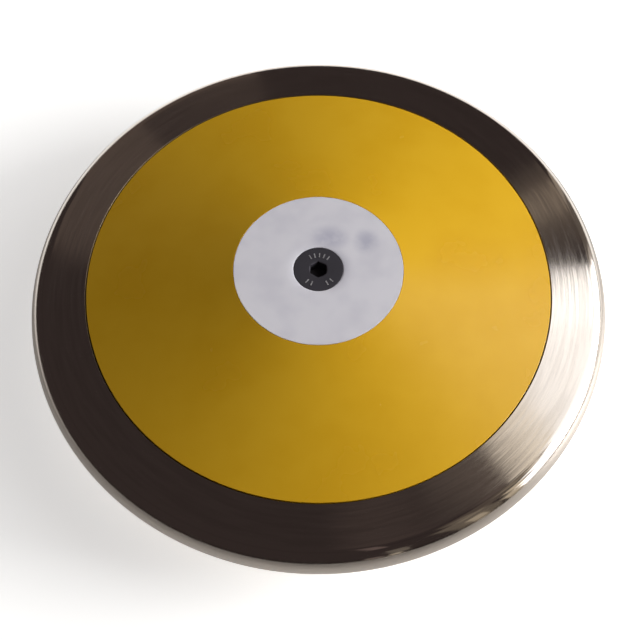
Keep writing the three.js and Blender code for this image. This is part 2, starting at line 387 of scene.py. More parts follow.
@dataclass(frozen=True)
class Flank:
    """The cone that the cover and the rim share, from the centre plate's edge to the round outer edge."""

    edge_radius: float = 6.25 * MM

    @property
    def edge_centre(self) -> float:
        """Radius at which the centre of the round edge lies."""
        return OUTER_RADIUS - self.edge_radius

    @property
    def angle(self) -> float:
        """Slope of the cone, which meets the round edge as a tangent."""
        run = self.edge_centre - PLATE_RADIUS
        return math.atan2(FACE_HEIGHT, run) - math.asin(self.edge_radius / math.hypot(run, FACE_HEIGHT))

    def height(self, radius: float) -> float:
        """Height of the cone at a radius."""
        return FACE_HEIGHT - (radius - PLATE_RADIUS) * math.tan(self.angle)

    def under(self, radius: float, wall: float) -> float:
        """Height of the underside of a wall under the cone, at a radius."""
        return self.height(radius) - wall / math.cos(self.angle)


FLANK = Flank()


def own_place(tree: NodeTree) -> NodeSocket:
    """Gives the place of a shaded point on its piece."""
    return add_node(tree, "TexCoord").outputs["Object"]


def axis_distance(tree: NodeTree) -> NodeSocket:
    """Gives the distance of a shaded point from the axis."""
    return length_node(tree, vector_node(tree, "MULTIPLY", own_place(tree), (1.0, 1.0, 0.0)))


def ring_marks(tree: NodeTree, width: float, run: float, detail: float = 2.0) -> NodeSocket:
    """Draws rings round the axis, as a tool leaves them, each fading in and out along its run.

    Args:
        tree: the material's tree.
        width: the usual width of a ring.
        run: how far a ring keeps its look along its own length.
        detail: how many finer levels lie in the rings.

    Returns:
        A value from 0 to 1.
    """
    axes = add_node(tree, "SeparateXYZ", inputs={0: own_place(tree)}).outputs
    turned = add_node(tree, "CombineXYZ", inputs={0: axis_distance(tree), 1: axes["Z"], 2: axes["X"]}).outputs[0]
    inputs = {
        "Vector": vector_node(tree, "MULTIPLY", turned, (1 / width, 1 / width, 1 / run)),
        "W": math_node(tree, "MULTIPLY", axes["Y"], 1 / run),
        "Scale": 1.0,
        "Detail": detail,
    }
    return add_node(tree, "TexNoise", {"noise_dimensions": "4D"}, inputs).outputs["Fac"]


def blotches(tree: NodeTree, size: float, detail: float = 2.0) -> NodeSocket:
    """Draws clouds of a usual size, with some finer levels in them, as a value from 0 to 1."""
    inputs = {"Vector": own_place(tree), "Scale": 1 / size, "Detail": detail}
    return add_node(tree, "TexNoise", inputs=inputs).outputs["Fac"]


def spread(tree: NodeTree, value: NodeSocket, source: Pair, target: Pair = (0.0, 1.0)) -> NodeSocket:
    """Maps a value smoothly from the range that it has to a target range."""
    ends = {"From Min": source[0], "From Max": source[1], "To Min": target[0], "To Max": target[1]}
    return add_node(tree, "MapRange", {"interpolation_type": "SMOOTHSTEP"}, {"Value": value, **ends}).outputs["Result"]


def blended(tree: NodeTree, share: NodeSocket, first: object, second: object) -> NodeSocket:
    """Blends two colours, each a value or an output, by the share of the second one that shows."""
    return add_node(tree, "Mix", {"data_type": "RGBA"}, {"Factor": share, 6: first, 7: second}).outputs[2]


def embossed(tree: NodeTree, height: NodeSocket, depth: float, normal: NodeSocket | None = None) -> NodeSocket:
    """Raises a surface by a pattern.

    Args:
        tree: the material's tree.
        height: the pattern, from 0 to 1.
        depth: the real height between 0 and 1.
        normal: the normal of the surface so far, or None where it is the mesh's own.

    Returns:
        The new normal.
    """
    inputs = {"Height": height, "Distance": depth}
    if normal is not None:
        inputs["Normal"] = normal
    return add_node(tree, "Bump", inputs=inputs).outputs["Normal"]


@dataclass(frozen=True)
class Finish(ABC):
    """A finish, given by what feeds the one principled shader of its material."""

    title: str

    @abstractmethod
    def inputs(self, tree: NodeTree) -> dict[str, object]:
        """Draws the finish in its material's tree and gives the shader's inputs by name."""

    def build(self) -> Material:
        """Builds the material.

        Returns:
            The material.
        """
        material = bpy.data.materials.new(self.title)
        tree = empty_tree(material)
        shader = add_node(tree, "BsdfPrincipled", inputs=self.inputs(tree))
        add_node(tree, "OutputMaterial", inputs={"Surface": shader.outputs[0]})
        return material


@dataclass(frozen=True)
class TurnedSteel(Finish):
    """Bright steel, turned on its flanks and polished on its round edge.

    The rings that the tool leaves break the edge of a reflection into streaks along the rim, and draw dull ones
    between bright ones. A duller line runs round where a flank meets the round edge, whose outermost band is scuffed
    by landings and mirrors softly; that band is also darker, which is painted shade dimming the floor that it
    mirrors. The seat for the cover is left as it was turned and is rougher; its darker brownish colour is painted
    shade of the gap beside the cover, where it shows as a dull line.
    """

    title: str = "turned and polished steel"
    colour: str = "#D6CEC6"
    dull: str = "#CCC4BC"
    seat_gap_shade: str = "#86765E"
    flank_roughness: float = 0.15
    edge_roughness: float = 0.1
    anisotropy: float = 0.75
    anisotropic_turn: float = 0.25
    streak_step: float = 1.2 * MM
    streak_run: float = 16 * MM
    line_inset: float = 4.1 * MM
    line_width: float = 0.5 * MM
    seat_roughness: float = 0.6
    seat_blend: float = 0.03 * MM
    polish_blend: float = 1 * MM
    scuff_inset: Pair = (1.9 * MM, 1.0 * MM)
    band_shade_inset: Pair = (2.1 * MM, 1.3 * MM)
    scuff_and_shade_colour: str = "#A09890"
    scuff_roughness: float = 0.42
    tool_step: float = 0.8 * MM
    tool_wave: float = 0.005 * MM
    tool_run: float = 60 * MM
    fine_step: float = 0.35 * MM  # real feed marks are nearer 0.1 mm, too fine to show
    fine_wave: float = 0.0012 * MM
    fine_run: float = 14 * MM

    def _colour(self, tree: NodeTree, radius: NodeSocket, flank: NodeSocket) -> NodeSocket:
        """Draws the dull streaks and the dull line.

        Args:
            tree: the material's tree.
            radius: the distance from the axis.
            flank: 1 on the flanks and 0 on the polished edge.

        Returns:
            The colour.
        """
        marks = ring_marks(tree, self.streak_step, self.streak_run)
        streaks = math_node(tree, "MULTIPLY", spread(tree, marks, (0.35, 0.65)), flank)
        away = math_node(tree, "SUBTRACT", radius, OUTER_RADIUS - self.line_inset)
        line = spread(tree, math_node(tree, "ABSOLUTE", away), (0.0, self.line_width / 2), (1.0, 0.0))
        share = math_node(tree, "MAXIMUM", streaks, line)
        return blended(tree, share, linear(self.colour), linear(self.dull))

    def inputs(self, tree: NodeTree) -> dict[str, object]:
        """Draws the tool's rings, the polished edge, the dull seat with its painted gap shade, and the scuffed band
        with its painted shade.

        Args:
            tree: the material's tree.

        Returns:
            The shader's inputs.
        """
        radius = axis_distance(tree)
        edge = spread(tree, radius, (FLANK.edge_centre, FLANK.edge_centre + self.polish_blend))
        flank = math_node(tree, "SUBTRACT", 1.0, edge)
        seat_end = COVER_RADIUS + SIDE_GAP + REBATE_CHAMFER
        seat = spread(tree, radius, (seat_end, seat_end + self.seat_blend), (1.0, 0.0))
        scuff, band_shade = ([OUTER_RADIUS - inset for inset in insets] for insets in (self.scuff_inset, self.band_shade_inset))
        tracks = math_node(tree, "MULTIPLY", ring_marks(tree, self.tool_step, self.tool_run, 1.0), flank)
        lines = ring_marks(tree, self.fine_step, self.fine_run)
        roughness = spread(tree, edge, (0.0, 1.0), (self.flank_roughness, self.edge_roughness))
        roughness = math_node(tree, "MULTIPLY", roughness, spread(tree, lines, NOISE_RANGE, (0.65, 1.35)))
        for share, ends, rough in ((seat, (0.0, 1.0), self.seat_roughness), (radius, scuff, self.scuff_roughness)):
            roughness = math_node(tree, "MAXIMUM", roughness, spread(tree, share, ends, (0.0, rough)))
        # The seat is rougher because it is left as turned; its darker brownish colour is painted shade of the gap
        # beside the cover.
        colour = blended(tree, seat, self._colour(tree, radius, flank), linear(self.seat_gap_shade))
        return {
            # The outermost band's darker colour is painted shade, dimming the floor that it mirrors.
            "Base Color": blended(tree, spread(tree, radius, band_shade), colour, linear(self.scuff_and_shade_colour)),
            "Metallic": 1.0,
            "Roughness": roughness,
            "Anisotropic": self.anisotropy,
            "Anisotropic Rotation": self.anisotropic_turn,
            "Tangent": add_node(tree, "Tangent", {"direction_type": "RADIAL", "axis": "Z"}).outputs[0],
            "Normal": embossed(tree, lines, self.fine_wave, embossed(tree, tracks, self.tool_wave)),
        }


@dataclass(frozen=True)
class MouldedPlastic(Finish):
    """Yellow ABS, moulded in a lightly blasted tool, which gives it a satin bloom."""

    title: str = "moulded yellow ABS"
    colour: str = "#DCAC24"
    shade: str = "#D7A61C"
    roughness: float = 0.25
    cloud_size: float = 22 * MM
    grain_size: float = 0.5 * MM  # the real grain is nearer 0.1 mm, too fine to show
    grain_depth: float = 0.001 * MM
    sink_size: float = 9 * MM
    sink_depth: float = 0.006 * MM

    def inputs(self, tree: NodeTree) -> dict[str, object]:
        """Draws the clouds, the sink marks and the grain.

        Args:
            tree: the material's tree.

        Returns:
            The shader's inputs.
        """
        clouds = blotches(tree, self.cloud_size, 3.0)
        sinks = embossed(tree, blotches(tree, self.sink_size, 1.0), self.sink_depth)
        return {
            "Base Color": blended(tree, spread(tree, clouds, (0.35, 0.7)), linear(self.colour), linear(self.shade)),
            "Roughness": spread(tree, clouds, NOISE_RANGE, (self.roughness * 0.92, self.roughness * 1.1)),
            "IOR": PLASTIC_IOR,
            "Normal": embossed(tree, blotches(tree, self.grain_size, 1.0), self.grain_depth, sinks),
        }


@dataclass(frozen=True)
class BlastedAluminium(Finish):
    """Aluminium faced on a lathe, blasted and clear anodised: pale and matt, smudged where it was handled.

    The last of the smudges is painted shade: a crescent round one side of the fastener's head. A smudge is given by
    its place on the plate and by how far it reaches both ways.
    """

    title: str = "blasted and anodised aluminium"
    colour: str = "#F1F0F8"
    cloud: str = "#EAE9F3"
    smudge_and_shade: str = "#CDCDDD"
    metallic: float = 0.2
    roughness: float = 0.55
    cloud_size: float = 8 * MM
    smudges_and_shade: tuple[tuple[float, float, float, float], ...] = (
        (14.8 * MM, 9.9 * MM, 5.4 * MM, 6 * MM),
        (3.4 * MM, 11 * MM, 8.4 * MM, 6 * MM),
        # painted shade: a crescent round one side of the fastener's head
        (1.8 * MM, 1.2 * MM, 9.6 * MM, 9.6 * MM),
    )
    ragged_size: float = 3 * MM
    facing_step: float = 0.9 * MM
    facing_wave: float = 0.0015 * MM
    facing_run: float = 25 * MM
    grain_size: float = 0.28 * MM  # real blasting leaves a grain nearer 0.1 mm, too fine to show
    grain_depth: float = 0.0025 * MM

    def _smudged_and_shaded(self, tree: NodeTree) -> NodeSocket:
        """Draws the smudges and the painted shade beside the head, soft and ragged.

        Args:
            tree: the material's tree.

        Returns:
            How much of a smudge or of the painted shade shows, from 0 to 1.
        """
        share = spread(tree, blotches(tree, self.ragged_size), (0.3, 0.6), (0.65, 1.0))
        shown = 0.0
        for place_x, place_y, reach_x, reach_y in self.smudges_and_shade:
            away = vector_node(tree, "SUBTRACT", own_place(tree), (place_x, place_y, 0.0))
            far = length_node(tree, vector_node(tree, "MULTIPLY", away, (1 / reach_x, 1 / reach_y, 0.0)))
            shown = math_node(tree, "MAXIMUM", shown, spread(tree, far, (0.1, 1.0), (1.0, 0.0)))
        return math_node(tree, "MULTIPLY", shown, share)

    def inputs(self, tree: NodeTree) -> dict[str, object]:
        """Draws the clouds, the smudges with the painted shade beside the head, the facing tool's rings and the grain.

        Args:
            tree: the material's tree.

        Returns:
            The shader's inputs.
        """
        stained = spread(tree, blotches(tree, self.cloud_size), (0.35, 0.75))
        colour = blended(tree, stained, linear(self.colour), linear(self.cloud))
        rings = ring_marks(tree, self.facing_step, self.facing_run, 1.0)
        grain = blotches(tree, self.grain_size, 1.0)
        return {
            "Base Color": blended(tree, self._smudged_and_shaded(tree), colour, linear(self.smudge_and_shade)),
            "Metallic": self.metallic,
            "Roughness": spread(tree, stained, (0.0, 1.0), (self.roughness, self.roughness * 0.86)),
            "Normal": embossed(tree, grain, self.grain_depth, embossed(tree, rings, self.facing_wave)),
        }


@dataclass(frozen=True)
class BlackenedSteel(Finish):
    """Steel with a black oxide finish, worn to paler metal on what stands proud."""

    title: str = "black oxide steel"
    colour: str = "#4A484F"
    worn: str = "#C4C3C6"
    metallic: float = 0.5
    roughness: float = 0.5
    grain_size: float = 0.5 * MM  # the real grain is nearer 0.1 mm, too fine to show
    grain_depth: float = 0.003 * MM
    worn_above: float = FACE_HEIGHT - 0.1 * MM
    worn_blend: Pair = (0.02 * MM, 0.06 * MM)

    def inputs(self, tree: NodeTree) -> dict[str, object]:
        """Draws the grain, and the patchy wear of what stands proud.

        Args:
            tree: the material's tree.

        Returns:
            The shader's inputs.
        """
        height = add_node(tree, "SeparateXYZ", inputs={0: own_place(tree)}).outputs["Z"]
        worn_from, worn_to = (self.worn_above + step for step in self.worn_blend)
        worn = spread(tree, math_node(tree, "ABSOLUTE", height), (worn_from, worn_to))
        grain = blotches(tree, self.grain_size)
        share = math_node(tree, "MULTIPLY", worn, spread(tree, grain, (0.35, 0.6), (0.4, 1.0)))
        return {
            "Base Color": blended(tree, share, linear(self.colour), linear(self.worn)),
            "Metallic": self.metallic,
            "Roughness": self.roughness,
            "Normal": embossed(tree, grain, self.grain_depth),
        }


@dataclass(frozen=True)
class PlainMetal(Finish):
    """Metal left as it was turned or stamped, with rings from the tool."""

    colour: str
    roughness: float
    step: float = 0.5 * MM
    wave: float = 0.002 * MM
    run: float = 20 * MM

    def inputs(self, tree: NodeTree) -> dict[str, object]:
        """Draws the tool's rings."""
        rings = ring_marks(tree, self.step, self.run)
        return {
            "Base Color": linear(self.colour),
            "Metallic": 1.0,
            "Roughness": spread(tree, rings, NOISE_RANGE, (self.roughness * 0.85, self.roughness * 1.15)),
            "Normal": embossed(tree, rings, self.wave),
        }


@dataclass(frozen=True)
class StampedNylon(Finish):
    """Natural nylon sheet, milky and soft, stamped to rings."""

    title: str = "natural nylon"
    colour: str = "#E6E3D8"
    shade: str = "#DCD8CA"
    roughness: float = 0.5
    grain_size: float = 0.8 * MM  # the real grain is nearer 0.2 mm, too fine to show
    grain_depth: float = 0.003 * MM

    def inputs(self, tree: NodeTree) -> dict[str, object]:
        """Draws the grain."""
        grain = blotches(tree, self.grain_size)
        return {
            "Base Color": blended(tree, grain, linear(self.colour), linear(self.shade)),
            "Roughness": self.roughness,
            "IOR": PLASTIC_IOR,
            "Subsurface Weight": 0.2,
            "Subsurface Scale": 1 * MM,
            "Normal": embossed(tree, grain, self.grain_depth),
        }


@dataclass(frozen=True)
class Rim:
    """The steel ring: a round edge, two flanks, a seat for each cover and a groove between them."""

    seat_depth: float = 3 * MM
    ledge_width: float = 4.6 * MM
    ledge_thickness: float = 2.4 * MM
    outer_wall: float = 8.2 * MM
    corner_radius: float = 2.5 * MM
    notch_count: int = 6
    notch_width: float = 8 * MM
    notch_inset: float = 1.6 * MM
    first_notch: float = math.radians(15)
    edge_rounding: float = 0.02 * MM

    @property
    def seat(self) -> float:
        """Height of the face that a cover sits on."""
        return FLANK.height(COVER_RADIUS) - self.seat_depth

    @property
    def ledge_under(self) -> float:
        """Height of the ledge's underside."""
        return self.seat - self.ledge_thickness

    @property
    def ledge_radius(self) -> float:
        """Inner radius of the ledge."""
        return COVER_RADIUS + SIDE_GAP - self.ledge_width

    def _ring(self) -> BMesh:
        """Turns the ring, without its notches.

        Returns:
            The ring.
        """
        rebate = COVER_RADIUS + SIDE_GAP
        rebate_top = FLANK.height(rebate + REBATE_CHAMFER)
        inside = [
            (rebate + REBATE_CHAMFER, rebate_top),
            (rebate, rebate_top - REBATE_CHAMFER),
            (rebate, self.seat),
            (self.ledge_radius, self.seat),
            (self.ledge_radius, self.ledge_under),
        ]
        groove = OUTER_RADIUS - self.outer_wall
        corner = groove - self.corner_radius
        corner_height = self.ledge_under - self.corner_radius
        half = math.pi / 2 - FLANK.angle
        start = FLANK.edge_centre + FLANK.edge_radius * math.cos(half)
        section = Section((start, -FLANK.edge_radius * math.sin(half)))
        section.arc(FLANK.edge_centre, 0.0, 2 * half, EDGE_ARC_STEPS)
        section.lines(*inside, (corner, self.ledge_under))
        section.arc(corner, corner_height, -math.pi / 2, CORNER_ARC_STEPS)
        section.lines((groove, -corner_height))
        section.arc(corner, -corner_height, -math.pi / 2, CORNER_ARC_STEPS)
        section.lines(*((radius, -height) for radius, height in reversed(inside)))
        return section.spun(RING_SEGMENTS, self.edge_rounding)

    def _notches(self) -> BMesh:
        """Makes the cutters for the notches in the upper ledge.

        Returns:
            The cutters.
        """
        radii = (self.ledge_radius - CUT_OVERRUN, COVER_RADIUS - self.notch_inset + SIDE_GAP)
        heights = (self.ledge_under - CUT_OVERRUN, self.seat + CUT_OVERRUN)
        return set_round(block(radii, heights, self.notch_width), self.notch_count, self.first_notch)

    def build(self, steel: Material) -> None:
        """Builds the rim and dresses it in its steel."""
        shape = worked(self._ring(), Work.CUT, *(turned(self._notches(), side) for side in Side))
        Piece("turned_rim", "rim", "rim_steel").complete(shape, steel)


@dataclass(frozen=True)
class Cover:
    """One moulded cover: a cone with a recess for the plate, and a boss, ribs, a flange and lugs inside."""

    side: Side
    wall: float = 2.6 * MM
    edge_height: float = 3 * MM
    chamfer: float = 0.05 * MM
    plate_gap: float = 0.12 * MM
    floor_thickness: float = 2.4 * MM
    boss_bore: float = 9.3 * MM
    boss_wall: float = 2.8 * MM
    boss_end: float = 4.5 * MM
    washer_radius: float = 20 * MM
    flange_width: float = 5.6 * MM
    rib_count: int = 12
    rib_thickness: float = 1.5 * MM
    rib_end_depth: float = 1.1 * MM
    ring_rib_share: float = 0.42
    draft: float = math.radians(1.5)
    lug_count: int = 6
    lug_width: float = 7.4 * MM
    lug_length: float = 2.4 * MM
    lug_inset: float = 1.6 * MM
    lug_reach: float = 2.1 * MM
    edge_rounding: float = 0.02 * MM

    @property
    def floor_under(self) -> float:
        """Height of the underside of the floor that carries the plate."""
        return PLATE_UNDER - self.floor_thickness

    @property
    def flange_radius(self) -> float:
        """Inner radius of the flange that sits in the rim."""
        return COVER_RADIUS - self.flange_width

    @property
    def seat(self) -> float:
        """Height of the flange's foot."""
        return FLANK.height(COVER_RADIUS) - self.edge_height

    @property
    def floor_edge(self) -> float:
        """Outer radius of the wall round the recess."""
        return PLATE_RADIUS + SIDE_GAP + self.floor_thickness

    def _drafted(self, height: float) -> float:
        """How far a wall of a height leans back."""
        return height * math.tan(self.draft)

    def _rib_foot(self, radius: float) -> float:
        """Finds how low the ribs reach.

        Args:
            radius: the distance from the axis.

        Returns:
            The height of the ribs' foot.
        """
        end = FLANK.under(self.flange_radius, self.wall) - self.rib_end_depth
        slope = (end - self.boss_end) / (self.flange_radius - self.washer_radius)
        return self.boss_end + (radius - self.washer_radius) * slope

    def _shell(self) -> BMesh:
        """Turns the wall, the recess, the boss, the ring rib and the flange in one.

        Returns:
            The shell.
        """
        recess = PLATE_RADIUS + self.plate_gap
        recess_top = FLANK.height(recess + self.chamfer)
        edge_top = FLANK.height(COVER_RADIUS - self.chamfer)
        ring = self.floor_edge + (self.flange_radius - self.floor_edge) * self.ring_rib_share
        inner = ring - self.rib_thickness / 2
        outer = ring + self.rib_thickness / 2
        lean = self._drafted(FLANK.under(ring, self.wall) - self._rib_foot(ring))
        boss = self.boss_bore + self.boss_wall
        drafted = boss + self._drafted(self.floor_under - self.boss_end)
        section = Section(
            (COVER_RADIUS, self.seat),
            (COVER_RADIUS, edge_top - self.chamfer),
            (COVER_RADIUS - self.chamfer, edge_top),
            (recess + self.chamfer, recess_top),
            (recess, recess_top - self.chamfer),
            (recess, PLATE_UNDER),
            (self.boss_bore, PLATE_UNDER),
            (self.boss_bore, self.boss_end),
            (boss, self.boss_end),
            (drafted, self.floor_under),
            (self.floor_edge, self.floor_under),
            (self.floor_edge, FLANK.under(self.floor_edge, self.wall)),
            (inner - lean, FLANK.under(inner - lean, self.wall)),
            (inner, self._rib_foot(ring)),
            (outer, self._rib_foot(ring)),
            (outer + lean, FLANK.under(outer + lean, self.wall)),
            (self.flange_radius - self._drafted(self.edge_height), FLANK.under(self.flange_radius, self.wall)),
            (self.flange_radius, self.seat),
        )
        return section.spun(RING_SEGMENTS, self.edge_rounding)

    def _ribs(self) -> BMesh:
        """Makes the radial ribs, rooted in the middle of the walls that they join.

        Returns:
            The ribs.
        """
        root = self.boss_bore + self.boss_wall / 2
        floor_middle = self.floor_edge - self.floor_thickness / 2
        end = (self.flange_radius + COVER_RADIUS) / 2
        foot_end = self._rib_foot(self.flange_radius)
        outline = [
            (root, self.boss_end),
            (self.washer_radius, self.boss_end),
            (self.flange_radius, foot_end),
            (end, foot_end),
            (end, FLANK.under(end, self.wall / 2)),
            (floor_middle, FLANK.under(floor_middle, self.wall / 2)),
            (floor_middle, PLATE_UNDER - self.floor_thickness / 2),
            (root, PLATE_UNDER - self.floor_thickness / 2),
        ]
        shape = bmesh.new()
        side = -self.rib_thickness / 2
        web = shape.faces.new([shape.verts.new((radius, side, height)) for radius, height in outline])
        grown = bmesh.ops.extrude_face_region(shape, geom=[web])["geom"]
        verts = [item for item in grown if isinstance(item, BMVert)]
        bmesh.ops.translate(shape, verts=verts, vec=(0.0, self.rib_thickness, 0.0))
        bmesh.ops.recalc_face_normals(shape, faces=shape.faces)
        return set_round(shape, self.rib_count, 0.0)

    def _lugs(self) -> BMesh:
        """Makes the lugs that reach down into the rim's notches.

        Returns:
            The lugs.
        """
        outer = COVER_RADIUS - self.lug_inset
        heights = (self.seat - self.lug_reach, (self.seat + FLANK.height(outer)) / 2)
        lug = block((outer - self.lug_length, outer), heights, self.lug_width)
        return set_round(lug, self.lug_count, math.pi / self.rib_count)

    def build(self, plastic: Material) -> None:
        """Builds and dresses the cover.

        Args:
            plastic: its material.
        """
        shape = worked(self._shell(), Work.JOIN, self._ribs(), self._lugs())
        where = self.side.name.lower()
        Piece(f"{where}_moulded_cover", f"{where}_cover", "cover_plastic", self.side).complete(shape, plastic)


@dataclass(frozen=True)
class CentrePlate:
    """One centre plate: a flat disc, countersunk for a fastener's head and dished a little where that pulls."""

    side: Side
    chamfer: float = 0.03 * MM
    hole_radius: float = 5.8 * MM
    head_radius: float = 7.72 * MM
    head_land: float = 0.4 * MM
    dish_radius: float = 10.4 * MM
    dish_angle: float = math.radians(4)
    edge_rounding: float = 0.012 * MM

    def build(self, aluminium: Material) -> None:
        """Builds and dresses the plate.

        Args:
            aluminium: its material.
        """
        bend = (self.dish_radius - self.head_radius) / math.sin(self.dish_angle)
        dish_depth = bend * (1 - math.cos(self.dish_angle))
        land_foot = FACE_HEIGHT - dish_depth - self.head_land
        section = Section(
            (PLATE_RADIUS, PLATE_UNDER),
            (PLATE_RADIUS, FACE_HEIGHT - self.chamfer),
            (PLATE_RADIUS - self.chamfer, FACE_HEIGHT),
            (self.dish_radius, FACE_HEIGHT),
        )
        section.arc(self.dish_radius, FACE_HEIGHT - bend, self.dish_angle, DISH_ARC_STEPS)
        section.lines(
            (self.head_radius, land_foot),
            (self.hole_radius, land_foot - (self.head_radius - self.hole_radius)),
            (self.hole_radius, PLATE_UNDER),
        )
        where = self.side.name.lower()
        piece = Piece(f"{where}_blasted_plate", f"{where}_centre_plate", "plate_aluminium", self.side)
        piece.complete(section.spun(RING_SEGMENTS, self.edge_rounding), aluminium)


@dataclass(frozen=True)
class Hub:
    """The tube between the plates, and the trim washers threaded on it."""

    bore: float = 5.8 * MM
    chamfer: float = 0.5 * MM
    washer_bore: float = 9.3 * MM
    edge_rounding: float = 0.12 * MM

    def _sleeve(self, aluminium: Material) -> None:
        """Builds and dresses the tube.

        Args:
            aluminium: its material.
        """
        radius, low, high = node_reach("hub_sleeve")
        section = Section(
            (radius - self.chamfer, low),
            (radius, low + self.chamfer),
            (radius, high - self.chamfer),
            (radius - self.chamfer, high),
            (self.bore, high),
            (self.bore, low),
        )
        shape = section.spun(SMALL_SEGMENTS, self.edge_rounding)
        Piece("turned_hub_sleeve", "hub_sleeve", "hub_aluminium").complete(shape, aluminium)

    def _washer(self, node: str, slot: str, material: Material) -> None:
        """Builds and dresses one trim washer.

        Args:
            node: the frame's node for it.
            slot: its slot.
            material: its material.
        """
        radius, low, high = node_reach(node)
        section = Section((radius, low), (radius, high), (self.washer_bore, high), (self.washer_bore, low))
        Piece(f"stamped_{node}", node, slot).complete(section.spun(SMALL_SEGMENTS, self.edge_rounding), material)

    def build(self, aluminium: Material, washers: dict[WasherKind, Material]) -> None:
        """Builds and dresses the tube and every washer that the frame has.

        Args:
            aluminium: the tube's material.
            washers: the material of each kind of washer.
        """
        self._sleeve(aluminium)
        for kind, material in washers.items():
            start = f"{kind.value}_trim_washer"
            for node in sorted(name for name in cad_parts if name.startswith(start)):
                self._washer(node, f"washer_{kind.value}", material)


@dataclass(frozen=True)
class Socket:
    """A hexagon socket, with a chamfered mouth and a floor left by the point of a drill."""

    width: float = 5 * MM
    depth: float = 3.8 * MM
    chamfer: float = 0.2 * MM
    point_depth: float = 0.9 * MM

    def cut(self, shape: BMesh, top: float) -> BMesh:
        """Cuts the socket into a head.

        Args:
            shape: the fastener, head up, which is used up.
            top: the height of the head's face.

        Returns:
            The fastener with its socket.
        """
        corner = self.width / 2 / math.cos(math.pi / HEXAGON_SIDES)
        brim = corner + self.chamfer / 2
        drill = self.width / 2 - self.chamfer
        floor = top - self.depth
        length = self.depth + CUT_OVERRUN
        prism = bmesh.new()
        place = Matrix.Translation((0.0, 0.0, floor + length / 2))
        sizes = {"segments": HEXAGON_SIDES, "radius1": corner, "radius2": corner, "depth": length}
        bmesh.ops.create_cone(prism, cap_ends=True, matrix=place, **sizes)
        point = Section(
            (0.0, floor - self.point_depth), (drill, floor), (drill, floor + self.chamfer), (0.0, floor + self.chamfer)
        )
        mouth = Section(
            (0.0, top - self.chamfer),
            (self.width / 2, top - self.chamfer),
            (brim, top),
            (brim, top + CUT_OVERRUN),
            (0.0, top + CUT_OVERRUN),
        )
        return worked(shape, Work.CUT, prism, point.spun(SMALL_SEGMENTS), mouth.spun(SMALL_SEGMENTS))


@dataclass(frozen=True)
class HeadMarks:
    """Plain raised strokes on a screw's head, standing in groups round the socket.

    A group is given by its middle angle, its count of strokes and its distance from the axis.
    """

    length: float = 1.5 * MM
    width: float = 0.36 * MM
    height: float = 0.08 * MM
    step: float = math.radians(17)
    groups: tuple[tuple[float, int, float], ...] = (
        (math.radians(86), 5, 4.9 * MM),
        (math.radians(239), 2, 5.4 * MM),
        (math.radians(307), 2, 5.5 * MM),
    )

    def raise_on(self, shape: BMesh, top: float) -> BMesh:
        """Raises the strokes on a head.

        Args:
            shape: the fastener, head up, which is used up.
            top: the height of the head's face.

        Returns:
            The fastener with its strokes.
        """
        heights = (top - self.height, top + self.height)
        strokes = []
        for middle, count, radius in self.groups:
            radii = (radius - self.length / 2, radius + self.length / 2)
            for index in range(count):
                angle = middle + (index - (count - 1) / 2) * self.step
                strokes.append(set_round(block(radii, heights, self.width), 1, angle))
        return worked(shape, Work.JOIN, *strokes)


@dataclass(frozen=True)
class Fasteners:
    """The countersunk screw and the sleeve nut that it runs into, which clamp the whole discus."""

    head_radius: float = 7.6 * MM
    head_land: float = 0.35 * MM
    shank_radius: float = 3.9 * MM
    shank_chamfer: float = 0.8 * MM
    barrel_radius: float = 5.5 * MM
    barrel_chamfer: float = 0.5 * MM
    nut_web: float = 1.6 * MM
    edge_rounding: float = 0.1 * MM
    socket: Socket = Socket()
    marks: HeadMarks = HeadMarks()

    def _headed(self, foot: list[Pair], top: float) -> BMesh:
        """Turns a fastener, head up, and cuts its socket.

        Args:
            foot: its outline as radii and heights, from the axis to the side of its stem.
            top: the height of the head's face.

        Returns:
            The fastener.
        """
        land_foot = top - self.head_land
        under_head = land_foot - (self.head_radius - foot[-1][0])
        head = [(foot[-1][0], under_head), (self.head_radius, land_foot), (self.head_radius, top), (0.0, top)]
        shape = Section(*foot, *head).spun(SMALL_SEGMENTS, self.edge_rounding)
        return self.socket.cut(shape, top)

    def _screw(self, steel: Material) -> None:
        """Builds and dresses the screw.

        Args:
            steel: its material.
        """
        _, tip, top = node_reach("centre_screw")
        shank = self.shank_radius
        foot = [(0.0, tip), (shank - self.shank_chamfer, tip), (shank, tip + self.shank_chamfer)]
        shape = self.marks.raise_on(self._headed(foot, top), top)
        Piece("blackened_centre_screw", "centre_screw", "fastener_steel").complete(shape, steel)

    def _nut(self, steel: Material) -> None:
        """Builds the sleeve nut head up, then turns it over and dresses it.

        Args:
            steel: its material.
        """
        low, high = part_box("sleeve_nut")
        top, end = -low.z, -high.z
        bore = self.shank_radius + SIDE_GAP
        bore_floor = top - self.socket.depth - self.socket.point_depth - self.nut_web
        foot = [
            (0.0, bore_floor),
            (bore, bore_floor),
            (bore, end),
            (self.barrel_radius - self.barrel_chamfer, end),
            (self.barrel_radius, end + self.barrel_chamfer),
        ]
        piece = Piece("blackened_sleeve_nut", "sleeve_nut", "fastener_steel", Side.LOWER)
        piece.complete(self._headed(foot, top), steel)

    def build(self, steel: Material) -> None:
        """Builds both fasteners and dresses them in their steel."""
        self._screw(steel)
        self._nut(steel)


